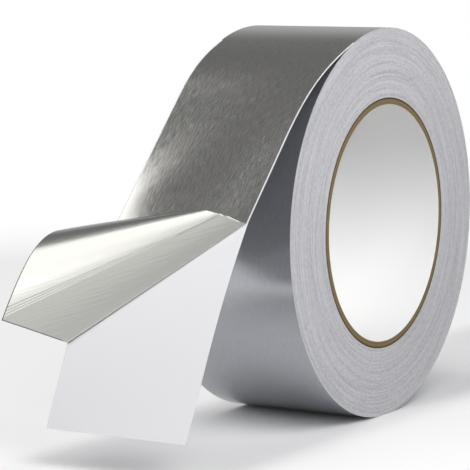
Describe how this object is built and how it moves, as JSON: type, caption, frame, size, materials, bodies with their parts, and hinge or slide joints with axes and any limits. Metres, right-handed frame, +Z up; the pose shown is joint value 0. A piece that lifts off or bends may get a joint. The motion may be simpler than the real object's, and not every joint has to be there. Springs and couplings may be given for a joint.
{
  "type": "roll of foil tape",
  "caption": "Roll of aluminium foil tape on a paper core, with its end pulled off and the foil peeled back from its paper liner.",
  "frame": {"origin": "on the floor, under the middle of the core's bore", "axes": "+Z up, +Y along the bore away from the face that shows, the pulled-off tape hangs on the -X side"},
  "size_m": [0.1837, 0.0656, 0.1248],
  "materials": {
    "core_paper": "matt brown paper tube, white inside",
    "wound_foil": "satin rolled foil, pale paper edges on the end faces",
    "liner_paper": "smooth white release paper",
    "foil": "satin rolled foil"
  },
  "bodies": {
    "root": {"core": "core_paper", "wound_tape": "wound_foil", "liner": "liner_paper", "foil": "foil"}
  },
  "joints": []
}
